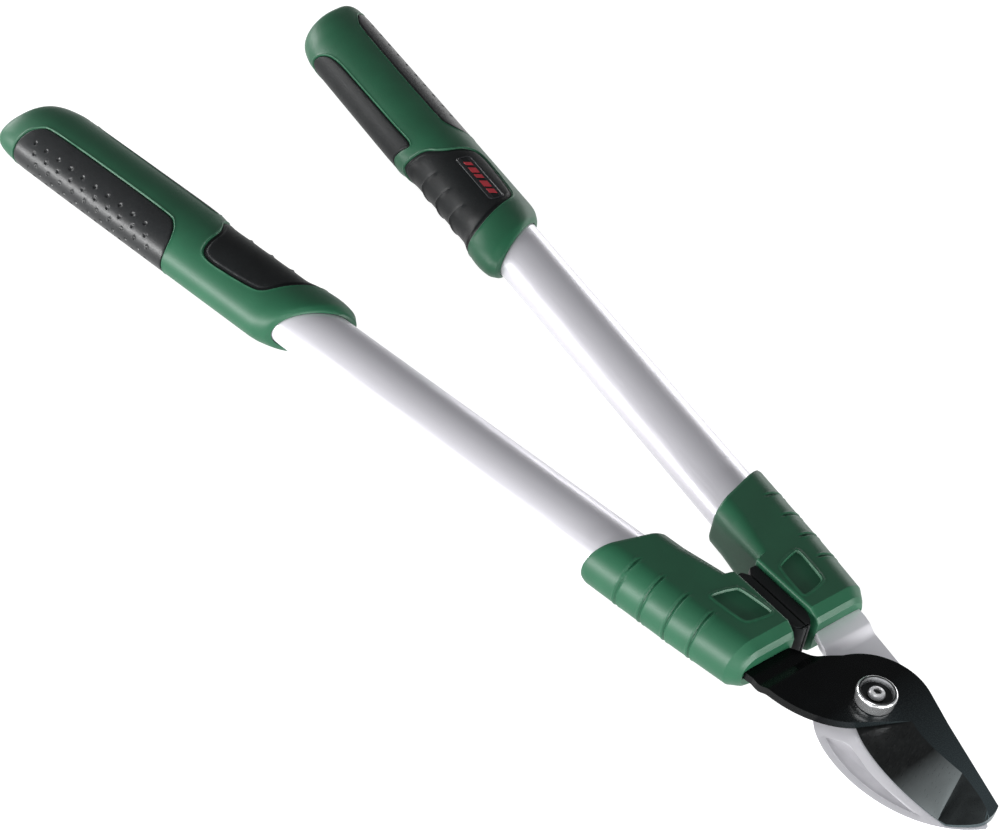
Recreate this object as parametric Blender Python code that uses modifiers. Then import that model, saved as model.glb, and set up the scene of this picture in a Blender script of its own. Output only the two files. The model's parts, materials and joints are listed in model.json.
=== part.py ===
"""Bypass loppers with two oval tube arms, modelled closed and lying flat.

+X runs from the grips to the blade tips, +Y points to the arm that carries the
hook blade and +Z is up, along the pivot bolt. The origin lies below the middle
of the closed tool, on the plane that the grips rest on.

Each arm is modelled along its own axis: X runs from the pivot end to the grip
end (the station), Y runs across the arm and Z is up. A lateral value is positive
on the inner side of an arm, the side that faces the other arm.
"""
import math

import bmesh
import bpy
from mathutils import Matrix

MM = 0.001
GAP = 0.3 * MM                          # air kept between neighbouring pieces

# Whole tool
ARM_ANGLE = math.radians(8.816)         # each arm's angle to the tool's X axis
ARM_OFFSET = 15.76 * MM                 # arm axis to pivot axis, along Y
PIVOT = (236.09 * MM, 0.0, 15.6 * MM)   # pivot axis at the blades' common plane

# Blades
PLATE = 4.0 * MM                        # thickness of both blade plates
TANG_HALF_WIDTH = 13.9 * MM             # shank width where it enters the sleeve
TANG_TAIL_HALF_WIDTH = 12.0 * MM        # shank width inside the tube
TANG_ENTRY = 42.9 * MM                  # station where the shank reaches its full width
TANG_SHOULDER = 62.0 * MM               # station where the shank narrows
TANG_END = 116.0 * MM
JOGGLE_START = -30.0 * MM               # X where the shank starts to step over
JOGGLE_END = -36.5 * MM
EDGE_THICKNESS = 0.35 * MM              # what the grinding leaves at the edge

# Pivot
BUSHING_RADIUS = 4.95 * MM
PIN_BORE = 3.25 * MM
BOLT_RADIUS = 2.95 * MM
BUTTON_RADIUS = 3.95 * MM
CAP_RADIUS = 9.5 * MM
CAP_HEIGHT = 7.0 * MM
WASHER_RADIUS = 8.5 * MM
WASHER_THICKNESS = 1.2 * MM
SPRING_WASHER_RADIUS = 6.6 * MM
NUT_ACROSS_FLATS = 10.0 * MM
NUT_HEIGHT = 6.0 * MM

# Arms
TUBE_HALF_WIDTH = 16.9 * MM
TUBE_HALF_DEPTH = 11.5 * MM
TUBE_WALL = 1.5 * MM
TUBE_START = 64.0 * MM
TUBE_END = 540.0 * MM
RIVET_STATIONS = (82.0 * MM, 106.0 * MM)
RIVET_RADIUS = 2.7 * MM
SLEEVE_HALF_DEPTH = 14.0 * MM
SLEEVE_START = 45.1 * MM                # station of its head end on the arm axis
# Distance from the sleeve's head end; outer, inner and depth shrink there
HEAD_END = ((0.0, 5.0, 0.8, 5.6), (1.7, 3.5, 0.5, 2.9), (6.5, 0.9, 0.0, 0.0))
SLEEVE_OUTER = -20.8 * MM               # lateral value of the sleeve's outer side
SLEEVE_INNER = 19.6 * MM                # lateral value behind the bumper
BUMPER_FACE = 6.8 * MM                  # distance of the bumper seat from the XZ plane
BUMPER_RANGE = (-86.0 * MM, -44.4 * MM)
BUMPER_HALF_DEPTH = 11.0 * MM

# Grips
PAD_DEPTH = 2.4 * MM                    # thickness of the soft pads
# station, outer half width, inner half width, half depth
GRIP_STATIONS = (
    (334.0, 17.8, 20.4, 13.2),
    (337.0, 19.6, 23.6, 14.8),
    (343.0, 21.4, 24.8, 15.4),
    (350.0, 22.8, 24.0, 15.6),
    (357.0, 23.2, 21.5, 15.6),
    (408.0, 23.2, 21.5, 15.6),
    (424.0, 23.2, 24.4, 15.6),
    (440.0, 23.2, 24.8, 15.6),
    (527.0, 23.0, 24.7, 15.5),
    (539.0, 22.4, 23.2, 14.9),
    (546.5, 21.5, 20.9, 13.7),
    (550.4, 19.8, 17.4, 11.4),
    (552.0, 17.0, 12.8, 8.2),
)
END_SLANT_START = 520.0 * MM            # beyond it the outer side runs further than the inner
END_SLANT = 0.31                        # slant of the end face across the grip
END_TILT = -0.02                        # slant of the end face over its depth
COLLAR_SLANT = 11.3 * MM                # the inner side's rim is nearer the pivot
COLLAR_SLANT_END = 360.0 * MM           # station where the slant has died out

# Outlines of the soft pads, seen from above: station and lateral value
OUTER_PAD = ((436.0, -6.0), (430.0, -8.0), (421.0, -30.0), (560.0, -30.0), (537.0, -17.0),
             (529.0, -8.5), (522.0, -6.5))
INNER_PAD = ((420.0, 17.0), (424.5, 24.0), (425.0, 30.0), (545.0, 30.0), (521.0, 23.0),
             (512.0, 19.0), (505.0, 17.5))
STOP_PAD = ((346.0, 30.0), (346.5, 16.0), (352.0, 5.0), (359.5, -8.0), (364.0, -11.0),
            (392.0, -12.5), (399.0, -11.5), (405.0, -4.0), (409.0, 6.0), (416.0, 16.0), (419.5, 30.0))
BADGE_CENTRE = (378.5 * MM, 0.0)
BADGE_SIZE = (38.0 * MM, 9.4 * MM)
BADGE_BOTTOM = 14.4 * MM
BADGE_TOP = 15.85 * MM

MATERIALS = {
    "green_plastic": ((0.026, 0.127, 0.061), 0.40, 0.0),
    "black_rubber": ((0.013, 0.015, 0.018), 0.62, 0.0),
    "aluminium": ((0.74, 0.72, 0.75), 0.34, 0.55),
    "hook_steel": ((0.52, 0.50, 0.54), 0.36, 0.85),
    "coated_steel": ((0.012, 0.014, 0.014), 0.34, 0.5),
    "chrome": ((0.62, 0.63, 0.63), 0.12, 1.0),
    "zinc_steel": ((0.42, 0.42, 0.43), 0.38, 0.9),
    "grey_nylon": ((0.10, 0.10, 0.105), 0.55, 0.0),
    "badge_black": ((0.010, 0.011, 0.013), 0.30, 0.0),
}


# --- scene helpers ------------------------------------------------------------

def clear_scene():
    for item in list(bpy.data.objects):
        bpy.data.objects.remove(item, do_unlink=True)


def new_collection(name):
    group = bpy.data.collections.new(name)
    bpy.context.scene.collection.children.link(group)
    return group


def get_material(name):
    found = bpy.data.materials.get(name)
    if found:
        return found
    colour, roughness, metallic = MATERIALS[name]
    made = bpy.data.materials.new(name)
    made.use_nodes = True
    shader = made.node_tree.nodes["Principled BSDF"]
    shader.inputs["Base Color"].default_value = (*colour, 1.0)
    shader.inputs["Roughness"].default_value = roughness
    shader.inputs["Metallic"].default_value = metallic
    made.diffuse_color = (*colour, 1.0)
    return made


def add_empty(name, parent=None, location=(0.0, 0.0, 0.0), turn=0.0):
    empty = bpy.data.objects.new(name, None)
    PARTS.objects.link(empty)
    empty.empty_display_size = 0.02
    empty.location = location
    empty.rotation_euler = (0.0, 0.0, turn)
    empty.parent = parent
    return empty


def add_part(name, mesh, parent, material):
    part = bpy.data.objects.new(name, mesh)
    mesh.name = name
    mesh.materials.append(get_material(material))
    mesh.shade_smooth()
    mesh.set_sharp_from_angle(angle=math.radians(35.0))
    PARTS.objects.link(part)
    part.parent = parent
    return part


def add_cutter(name, mesh, parent):
    cutter = bpy.data.objects.new(name, mesh)
    mesh.name = name
    CUTTERS.objects.link(cutter)
    cutter.parent = parent
    cutter.hide_render = True
    cutter.display_type = "WIRE"
    return cutter


def add_boolean(target, other, operation="DIFFERENCE"):
    cut = target.modifiers.new(operation.lower() + "_" + other.name, "BOOLEAN")
    cut.operation = operation
    cut.solver = "EXACT"
    cut.object = other


def add_bevel(target, width, segments=2):
    bevel = target.modifiers.new("bevel", "BEVEL")
    bevel.width = width
    bevel.segments = segments
    bevel.limit_method = "ANGLE"
    bevel.angle_limit = math.radians(40.0)


# --- mesh builders ------------------------------------------------------------

def to_mesh(bm):
    bmesh.ops.recalc_face_normals(bm, faces=bm.faces)
    mesh = bpy.data.meshes.new("mesh")
    bm.to_mesh(mesh)
    bm.free()
    return mesh


def prism(outline, low, high):
    """Flat outline in metres, extruded from low to high along Z."""
    curve = bpy.data.curves.new("outline", "CURVE")
    curve.dimensions = "2D"
    curve.fill_mode = "BOTH"
    curve.extrude = (high - low) / 2.0
    spline = curve.splines.new("POLY")
    spline.points.add(len(outline) - 1)
    for point, (x, y) in zip(spline.points, outline):
        point.co = (x, y, 0.0, 1.0)
    spline.use_cyclic_u = True
    holder = bpy.data.objects.new("outline", curve)
    bpy.context.scene.collection.objects.link(holder)
    depsgraph = bpy.context.evaluated_depsgraph_get()
    mesh = bpy.data.meshes.new_from_object(holder.evaluated_get(depsgraph))
    bpy.data.objects.remove(holder, do_unlink=True)
    bm = bmesh.new()
    bm.from_mesh(mesh)
    bpy.data.meshes.remove(mesh)
    bmesh.ops.remove_doubles(bm, verts=bm.verts, dist=1e-6)
    bmesh.ops.translate(bm, verts=bm.verts, vec=(0.0, 0.0, (high + low) / 2.0))
    return to_mesh(bm)


def loft(rings):
    """Closed skin over rings of equally many points, with a flat cap on each end."""
    bm = bmesh.new()
    loops = [[bm.verts.new(point) for point in ring] for ring in rings]
    count = len(loops[0])
    for near, far in zip(loops, loops[1:]):
        for i in range(count):
            j = (i + 1) % count
            bm.faces.new((near[i], near[j], far[j], far[i]))
    bm.faces.new(loops[0])
    bm.faces.new(loops[-1])
    return to_mesh(bm)


def mirrored(mesh):
    """The same mesh seen in the XZ plane's mirror, still facing out."""
    mesh.transform(Matrix.Scale(-1.0, 4, (0.0, 1.0, 0.0)))
    mesh.flip_normals()
    return mesh


def oval_bar(start, end, half_width, half_depth, segments=32):
    """Closed bar of oval section along X."""
    bm = bmesh.new()
    bmesh.ops.create_cone(bm, cap_ends=True, segments=segments, radius1=1.0, radius2=1.0,
                          depth=end - start, matrix=Matrix.Rotation(math.pi / 2.0, 4, "Y"))
    bmesh.ops.scale(bm, vec=(1.0, half_width, half_depth), verts=bm.verts)
    bmesh.ops.translate(bm, vec=((start + end) / 2.0, 0.0, 0.0), verts=bm.verts)
    return to_mesh(bm)


def pins(stations, radius, half_length, segments=20):
    """Upright pins along the arm, all in one mesh."""
    bm = bmesh.new()
    for station in stations:
        bmesh.ops.create_cone(bm, cap_ends=True, segments=segments, radius1=radius, radius2=radius,
                              depth=2.0 * half_length, matrix=Matrix.Translation((station, 0.0, 0.0)))
    return to_mesh(bm)


def block(size, centre):
    bm = bmesh.new()
    bmesh.ops.create_cube(bm, size=1.0)
    bmesh.ops.scale(bm, vec=size, verts=bm.verts)
    bmesh.ops.translate(bm, vec=centre, verts=bm.verts)
    return to_mesh(bm)


def turned(name, profile, parent, material, steps=32):
    """Solid of revolution about Z; the profile is (radius, height), top to bottom outside."""
    bm = bmesh.new()
    verts = [bm.verts.new((radius, 0.0, height)) for radius, height in profile]
    closed = profile[0][0] > 0.0
    for a, b in zip(verts, verts[1:]):
        bm.edges.new((a, b))
    if closed:
        bm.edges.new((verts[-1], verts[0]))
    mesh = bpy.data.meshes.new(name)
    bm.to_mesh(mesh)
    bm.free()
    part = add_part(name, mesh, parent, material)
    screw = part.modifiers.new("screw", "SCREW")
    screw.angle = math.tau
    screw.steps = steps
    screw.render_steps = steps
    screw.use_merge_vertices = True
    screw.merge_threshold = 1e-6
    screw.use_smooth_shade = True
    return part


# --- outline helpers ----------------------------------------------------------

def arc(radius, start, end, steps):
    """Points on a circle about the pivot, from start to end degrees."""
    angles = [math.radians(start + (end - start) * i / steps) for i in range(steps + 1)]
    return [(radius * math.cos(a), radius * math.sin(a)) for a in angles]


def bezier(p0, p1, p2, p3, steps):
    points = []
    for i in range(steps + 1):
        t = i / steps
        u = 1.0 - t
        weights = (u ** 3, 3.0 * u * u * t, 3.0 * u * t * t, t ** 3)
        points.append(tuple(sum(w * p[k] for w, p in zip(weights, (p0, p1, p2, p3))) for k in (0, 1)))
    return points


def metres(points):
    return [(x * MM, y * MM) for x, y in points]


def arm_to_head(side, station, lateral):
    """Arm station and lateral value to X and Y about the pivot; side is +1 or -1."""
    x = -station * math.cos(ARM_ANGLE) - lateral * math.sin(ARM_ANGLE)
    y = ARM_OFFSET + station * math.sin(ARM_ANGLE) - lateral * math.cos(ARM_ANGLE)
    return x, side * y


def tang_outline(side):
    """The shank from its outer corner at the sleeve, round its tail, to its inner corner."""
    corners = ((TANG_ENTRY, -TANG_HALF_WIDTH), (TANG_SHOULDER, -TANG_HALF_WIDTH),
               (TANG_SHOULDER, -TANG_TAIL_HALF_WIDTH), (TANG_END, -TANG_TAIL_HALF_WIDTH),
               (TANG_END, TANG_TAIL_HALF_WIDTH), (TANG_SHOULDER, TANG_TAIL_HALF_WIDTH),
               (TANG_SHOULDER, TANG_HALF_WIDTH), (TANG_ENTRY, TANG_HALF_WIDTH))
    return [arm_to_head(side, station, lateral) for station, lateral in corners]


def hook_outline():
    edge = bezier((-8.0, -29.2), (9.0, -44.2), (58.0, -44.9), (75.9, -6.8), 16)
    inner = bezier((73.6, -3.9), (60.0, -17.0), (38.0, -21.5), (21.3, -14.9), 10)
    front_hub = arc(26.0, -30.0, 80.0, 9)
    shank = [(-8.0, 29.7), (-12.0, 30.4), (-34.0, 34.4)]
    tang = tang_outline(1)
    neck = [(-38.0, 5.6), (-33.0, 4.2), (-28.6, 0.8)]
    rear_hub = arc(27.5, 180.0, 240.0, 5)
    return metres(edge + [(75.4, -5.0)] + inner + front_hub + shank) + tang + metres(neck + rear_hub)


def blade_outline():
    edge = bezier((5.0, -15.2), (18.0, -22.5), (40.0, -25.0), (61.0, -21.6), 12)
    tip = [(65.0, -21.2), (71.2, -13.0), (75.0, -4.2), (72.0, 3.9), (28.0, 19.2)]
    hub = arc(28.1, 70.0, 164.0, 9)
    neck = [(-31.0, 1.0), (-33.4, -1.6), (-37.1, -3.9), (-41.0, -6.2)]
    tang = tang_outline(-1)[::-1]
    belly = bezier((-37.5, -36.4), (-22.0, -36.8), (-6.0, -30.4), (3.2, -18.2), 8)
    return metres(edge + tip + hub + neck) + tang + metres(belly)


def joggle(mesh, rise):
    """Step the shank over by rise, so that its tail lies on the tube's middle plane."""
    bm = bmesh.new()
    bm.from_mesh(mesh)
    for plane_x in (JOGGLE_START, JOGGLE_END):
        geometry = list(bm.verts) + list(bm.edges) + list(bm.faces)
        bmesh.ops.bisect_plane(bm, geom=geometry, plane_co=(plane_x, 0.0, 0.0), plane_no=(1.0, 0.0, 0.0),
                               dist=1e-7)
    for vert in bm.verts:
        along = (JOGGLE_START - vert.co.x) / (JOGGLE_START - JOGGLE_END)
        vert.co.z += rise * min(1.0, max(0.0, along))
    bmesh.ops.triangulate(bm, faces=[face for face in bm.faces if len(face.verts) > 4])
    bm.to_mesh(mesh)
    bm.free()
    return mesh


# --- blades and pivot ---------------------------------------------------------

def cut_blade_bores(blade, parent):
    reach = 2.0 * PLATE
    bore = add_cutter(blade.name + "_bore", pins((0.0,), BUSHING_RADIUS + GAP, reach, 32), parent)
    add_boolean(blade, bore)


def cut_rivet_holes(target, arm):
    reach = TUBE_HALF_DEPTH + 2.0 * MM
    holes = add_cutter(target.name + "_rivet_holes", pins(RIVET_STATIONS, RIVET_RADIUS + GAP, reach), arm)
    add_boolean(target, holes)


def make_hook_blade(pivot, arm):
    mesh = prism(hook_outline(), -PLATE - GAP / 2.0, -GAP / 2.0)
    blade = add_part("hook_blade", joggle(mesh, PLATE / 2.0 + GAP / 2.0), pivot, "hook_steel")
    cut_blade_bores(blade, pivot)
    cut_rivet_holes(blade, arm)


def bevel_grind():
    """Wedge that grinds the cutting edge: a ruled loft from a straight line to the edge."""
    top = PLATE + GAP / 2.0
    rings = []
    steps = 12
    edge = metres(bezier((5.0, -15.2), (18.0, -22.5), (40.0, -25.0), (61.0, -21.6), steps))
    for i, (x, y) in enumerate(edge):
        t = i / steps
        line_x = (17.5 + (50.6 - 17.5) * t) * MM
        line_y = (6.0 - 2.3 * t) * MM
        out_x = x + (x - line_x) * 0.15
        out_y = y + (y - line_y) * 0.15
        edge_z = GAP / 2.0 + EDGE_THICKNESS
        rings.append(((line_x, line_y, top), (x, y, edge_z), (out_x, out_y, edge_z),
                      (out_x, out_y, top + MM), (line_x, line_y, top + MM)))
    return loft(rings)


def make_cutting_blade(pivot, arm):
    mesh = prism(blade_outline(), GAP / 2.0, PLATE + GAP / 2.0)
    blade = add_part("cutting_blade", joggle(mesh, -PLATE / 2.0 - GAP / 2.0), pivot, "coated_steel")
    add_boolean(blade, add_cutter("cutting_blade_grind", bevel_grind(), pivot))
    cut_blade_bores(blade, pivot)
    cut_rivet_holes(blade, arm)


def hexagon(across_flats):
    radius = across_flats / math.sqrt(3.0)
    return [(radius * math.cos(i * math.pi / 3.0), radius * math.sin(i * math.pi / 3.0)) for i in range(6)]


def make_pivot(pivot):
    outside = PLATE + GAP / 2.0
    turned("pivot_bushing", [(BUSHING_RADIUS, outside), (BUSHING_RADIUS, -outside),
                             (PIN_BORE, -outside), (PIN_BORE, outside)], pivot, "zinc_steel")

    cap_low = outside + GAP
    cap_top = cap_low + CAP_HEIGHT
    cup_floor = cap_low + 3.4 * MM
    seat = cup_floor + 0.2 * MM
    turned("pivot_cap", [(CAP_RADIUS - 1.9 * MM, cap_top), (CAP_RADIUS - 0.6 * MM, cap_top - 0.2 * MM),
                         (CAP_RADIUS, cap_top - 1.2 * MM), (CAP_RADIUS, cap_top - 2.6 * MM),
                         (CAP_RADIUS - 0.5 * MM, cap_low + 1.2 * MM), (CAP_RADIUS - 0.5 * MM, cap_low),
                         (PIN_BORE, cap_low), (PIN_BORE, cup_floor),
                         (CAP_RADIUS - 2.9 * MM, cup_floor)], pivot, "chrome")

    washer_top = -outside - GAP
    washer_low = washer_top - WASHER_THICKNESS
    turned("pivot_washer", [(WASHER_RADIUS, washer_top), (WASHER_RADIUS, washer_low),
                            (PIN_BORE, washer_low), (PIN_BORE, washer_top)], pivot, "zinc_steel")

    spring_top = washer_low - GAP
    spring_cone = 0.5 * MM
    spring_low = spring_top - 0.7 * MM
    turned("pivot_spring_washer", [(SPRING_WASHER_RADIUS, spring_top), (SPRING_WASHER_RADIUS, spring_low),
                                   (PIN_BORE, spring_low - spring_cone), (PIN_BORE, spring_top - spring_cone)],
           pivot, "zinc_steel")

    nut_top = spring_low - spring_cone - GAP
    nut_low = nut_top - NUT_HEIGHT
    nut = add_part("pivot_nut", prism(hexagon(NUT_ACROSS_FLATS), nut_low, nut_top), pivot, "zinc_steel")
    add_boolean(nut, add_cutter("pivot_nut_bore", pins((0.0,), PIN_BORE, 20.0 * MM, 32), pivot))

    button_top = cap_top - 0.4 * MM
    bolt = turned("pivot_bolt", [(0.0, button_top), (BUTTON_RADIUS - 0.6 * MM, button_top),
                                 (BUTTON_RADIUS, button_top - 0.6 * MM), (BUTTON_RADIUS, seat + GAP),
                                 (BOLT_RADIUS, seat + GAP), (BOLT_RADIUS, nut_low - MM),
                                 (BOLT_RADIUS - 0.5 * MM, nut_low - 1.6 * MM), (0.0, nut_low - 1.6 * MM)],
                  pivot, "chrome")
    socket = add_cutter("pivot_bolt_socket",
                        prism(hexagon(3.6 * MM), button_top - 1.8 * MM, button_top + MM), pivot)
    add_boolean(bolt, socket)


# --- arms ---------------------------------------------------------------------

def make_tube(name, arm):
    bm = bmesh.new()
    length = TUBE_END - TUBE_START
    bmesh.ops.create_cone(bm, cap_ends=False, segments=40, radius1=1.0, radius2=1.0, depth=length,
                          matrix=Matrix.Rotation(math.pi / 2.0, 4, "Y"))
    bmesh.ops.scale(bm, vec=(1.0, TUBE_HALF_WIDTH, TUBE_HALF_DEPTH), verts=bm.verts)
    bmesh.ops.translate(bm, vec=((TUBE_START + TUBE_END) / 2.0, 0.0, 0.0), verts=bm.verts)
    bmesh.ops.recalc_face_normals(bm, faces=bm.faces)
    mesh = bpy.data.meshes.new(name)
    bm.to_mesh(mesh)
    bm.free()
    tube = add_part(name + "_tube", mesh, arm, "aluminium")
    wall = tube.modifiers.new("wall", "SOLIDIFY")
    wall.thickness = TUBE_WALL
    wall.offset = -1.0
    cut_rivet_holes(tube, arm)


def make_insert(name, arm):
    """Plastic filler that holds the shank in the tube's mouth."""
    shrink = TUBE_WALL + GAP
    insert = add_part(name + "_tang_insert",
                      oval_bar(TUBE_START, TANG_END + 6.0 * MM, TUBE_HALF_WIDTH - shrink,
                               TUBE_HALF_DEPTH - shrink), arm, "grey_nylon")
    slot_length = TANG_END + GAP - TANG_SHOULDER
    slot = block((slot_length + 4.0 * MM, 2.0 * (TANG_TAIL_HALF_WIDTH + GAP), PLATE + 2.0 * GAP),
                 (TANG_SHOULDER + slot_length / 2.0 - 2.0 * MM, 0.0, 0.0))
    add_boolean(insert, add_cutter(name + "_insert_slot", slot, arm))
    cut_rivet_holes(insert, arm)


def make_rivets(name, arm):
    for label, station in zip(("front", "rear"), RIVET_STATIONS):
        rivet = add_part(f"{name}_rivet_{label}", pins((0.0,), RIVET_RADIUS, TUBE_HALF_DEPTH - GAP), arm,
                         "zinc_steel")
        rivet.location = (station, 0.0, 0.0)


def rounded_ring(station, outer, inner, half_depth, outer_round, inner_round, slant=0.0, steps=4):
    """Ring across the arm with its own corner radius on the outer and inner sides."""
    ring = []
    corners = ((inner, half_depth, inner_round, 0.0), (outer, half_depth, outer_round, 90.0),
               (outer, -half_depth, outer_round, 180.0), (inner, -half_depth, inner_round, 270.0))
    for lateral, z, radius, start in corners:
        centre_y = lateral - math.copysign(radius, lateral)
        centre_z = z - math.copysign(radius, z)
        for i in range(steps + 1):
            angle = math.radians(start + 90.0 * i / steps)
            y = centre_y + radius * math.cos(angle)
            ring.append((station - slant * y, y, centre_z + radius * math.sin(angle)))
    return ring


def bumper_seat_lateral(station):
    """Lateral value of the face that runs parallel to the tool's middle plane."""
    return (ARM_OFFSET - BUMPER_FACE + station * math.sin(ARM_ANGLE)) / math.cos(ARM_ANGLE)


def sleeve_rings():
    """The head end's rings stand square to the tool, the others more and more aslant to the arm."""
    depth = SLEEVE_HALF_DEPTH
    square = math.tan(ARM_ANGLE)
    rings = []
    for ahead, outer_shrink, inner_shrink, depth_shrink in HEAD_END:
        station = SLEEVE_START + ahead * MM
        inner = bumper_seat_lateral(station) / (1.0 + square * square) - inner_shrink * MM
        half_depth = depth - depth_shrink * MM
        rings.append(rounded_ring(station, SLEEVE_OUTER + outer_shrink * MM, inner, half_depth,
                                  half_depth - 0.2 * MM, 1.5 * MM, square))
    rings.append(rounded_ring(84.2 * MM, SLEEVE_OUTER, bumper_seat_lateral(84.2 * MM), depth,
                              depth - 0.2 * MM, 1.5 * MM))
    rings.append(rounded_ring(86.7 * MM, SLEEVE_OUTER, SLEEVE_INNER, depth, depth - 0.2 * MM, 5.0 * MM))
    for station, slant, shrink in ((112.0 * MM, 0.1, 0.0), (128.0 * MM, 0.42, 0.0), (130.0 * MM, 0.44, 1.6 * MM)):
        rings.append(rounded_ring(station, SLEEVE_OUTER + shrink, SLEEVE_INNER - shrink, depth - shrink,
                                  depth - shrink - 0.2 * MM, 9.0 * MM, slant))
    return rings


def make_sleeve(name, arm, side):
    mesh = loft(sleeve_rings())
    if side < 0:
        mesh = mirrored(mesh)
    sleeve = add_part(name + "_sleeve", mesh, arm, "green_plastic")
    cavity = oval_bar(TUBE_START - GAP, TUBE_START + 100.0 * MM, TUBE_HALF_WIDTH + GAP,
                      TUBE_HALF_DEPTH + GAP, 40)
    add_boolean(sleeve, add_cutter(name + "_sleeve_cavity", cavity, arm))
    slot_end = TUBE_START + 2.0 * MM
    slot = block((40.0 * MM, 2.0 * (TANG_HALF_WIDTH + GAP), PLATE + 2.0 * GAP),
                 (slot_end - 20.0 * MM, 0.0, 0.0))
    add_boolean(sleeve, add_cutter(name + "_sleeve_slot", slot, arm))


def make_bumper(name, pivot, side):
    low, high = BUMPER_RANGE
    face = GAP
    seat = BUMPER_FACE - GAP
    outline = [(low, seat), (high - 7.4 * MM, seat), (high - 3.0 * MM, 4.8 * MM), (high, 1.6 * MM),
               (high, face), (low + 3.0 * MM, face), (low, 2.6 * MM)]
    outline = [(x, side * y) for x, y in outline]
    bumper = add_part(name + "_bumper", prism(outline, -BUMPER_HALF_DEPTH, BUMPER_HALF_DEPTH), pivot,
                      "black_rubber")
    add_bevel(bumper, 0.8 * MM, 1)


# --- grips --------------------------------------------------------------------

def grip_skin(swell, segments=32):
    """Closed skin of the grip, moved outward by swell."""
    rings = []
    for station, outer, inner, depth in GRIP_STATIONS:
        ring = []
        fade = max(0.0, 1.0 - (station * MM - 334.0 * MM) / (COLLAR_SLANT_END - 334.0 * MM))
        end = max(0.0, (station * MM - END_SLANT_START) / (GRIP_STATIONS[-1][0] * MM - END_SLANT_START))
        for i in range(segments):
            angle = math.tau * i / segments
            across = math.cos(angle)
            half = (inner if across > 0.0 else outer) * MM + swell
            y = half * across
            z = (depth * MM + swell) * math.sin(angle)
            x = station * MM - COLLAR_SLANT * across * fade - end * (END_SLANT * y + END_TILT * z - swell)
            ring.append((x, y, z))
        rings.append(ring)
    return loft(rings)


def fit_side(mesh, side):
    return mesh if side > 0 else mirrored(mesh)


def grown(outline, amount):
    """A convex-cornered outline moved outward from its middle by about amount."""
    centre_x = sum(x for x, y in outline) / len(outline)
    centre_y = sum(y for x, y in outline) / len(outline)
    result = []
    for x, y in outline:
        reach = math.hypot(x - centre_x, y - centre_y)
        scale = 1.0 + amount / reach
        result.append((centre_x + (x - centre_x) * scale, centre_y + (y - centre_y) * scale))
    return result


def carve_pad(target, tag, arm, side, outline, inner_swell):
    """Keep of the target only what lies in the pad's outline and within the skin's depth."""
    window = add_cutter(tag + "_window", fit_side(prism(outline, -40.0 * MM, 40.0 * MM), side), arm)
    core = add_cutter(tag + "_core", fit_side(grip_skin(inner_swell), side), arm)
    add_boolean(target, window, "INTERSECT")
    add_boolean(target, core)


def make_grip(name, arm, side):
    shell = add_part(name + "_grip_shell", fit_side(grip_skin(0.0, 40), side), arm, "green_plastic")
    cavity = oval_bar(280.0 * MM, TUBE_END + GAP, TUBE_HALF_WIDTH + GAP, TUBE_HALF_DEPTH + GAP, 40)
    add_boolean(shell, add_cutter(name + "_grip_cavity", cavity, arm))
    for label, outline in (("outer", OUTER_PAD), ("inner", INNER_PAD), ("stop", STOP_PAD)):
        tag = f"{name}_grip_{label}_pad"
        outline = metres(outline)
        pad = add_part(tag, fit_side(grip_skin(0.0), side), arm, "black_rubber")
        carve_pad(pad, tag, arm, side, outline, -PAD_DEPTH)
        seat = add_cutter(tag + "_seat", fit_side(grip_skin(MM), side), arm)
        carve_pad(seat, tag + "_seat", arm, side, grown(outline, GAP * 1.4), -PAD_DEPTH - GAP)
        add_boolean(shell, seat)
        if label == "stop" and side > 0:
            make_badge(pad, name, arm)


def make_badge(pad, name, arm):
    """Blank plate let into the hook arm's stop pad, parallel to the arm."""
    def plate(grow, low, high):
        half_x = BADGE_SIZE[0] / 2.0 + grow
        half_y = BADGE_SIZE[1] / 2.0 + grow
        corner = 2.5 * MM
        outline = []
        for sign_x, sign_y, start in ((1, 1, 0), (-1, 1, 90), (-1, -1, 180), (1, -1, 270)):
            for i in range(5):
                angle = math.radians(start + 22.5 * i)
                outline.append((BADGE_CENTRE[0] + sign_x * (half_x - corner) + corner * math.cos(angle),
                                BADGE_CENTRE[1] + sign_y * (half_y - corner) + corner * math.sin(angle)))
        return prism(outline, low, high)

    pocket = add_cutter(name + "_badge_pocket", plate(GAP, BADGE_BOTTOM - GAP, 30.0 * MM), arm)
    add_boolean(pad, pocket)
    add_part(name + "_grip_badge", plate(0.0, BADGE_BOTTOM, BADGE_TOP), arm, "badge_black")


# --- assembly -----------------------------------------------------------------

def make_arm(name, pivot, side):
    arm = add_empty(name + "_arm_axis", pivot, (0.0, side * ARM_OFFSET, 0.0), math.pi - side * ARM_ANGLE)
    make_tube(name, arm)
    make_insert(name, arm)
    make_rivets(name, arm)
    make_sleeve(name, arm, side)
    make_bumper(name, pivot, side)
    make_grip(name, arm, side)
    return arm


clear_scene()
PARTS = new_collection("bypass_loppers")
CUTTERS = new_collection("cutters")

fixed_pivot = add_empty("pivot_axis", None, PIVOT)
moving_pivot = add_empty("blade_pivot_axis", None, PIVOT)
hook_arm = make_arm("hook", fixed_pivot, 1)
blade_arm = make_arm("blade", moving_pivot, -1)
make_hook_blade(fixed_pivot, hook_arm)
make_cutting_blade(moving_pivot, blade_arm)
make_pivot(fixed_pivot)
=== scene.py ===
"""Looks for the bypass loppers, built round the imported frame.

Sizes are in millimetres until a mesh is made. Each arm is described along its own
axis: X is the station from the pivot end to the grip end, Y runs across the arm
(positive on the side that faces the other arm) and Z is up from the arm's middle.
"""
import json
import math

import bmesh
import bpy
import numpy as np
from mathutils import Matrix, Vector

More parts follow.
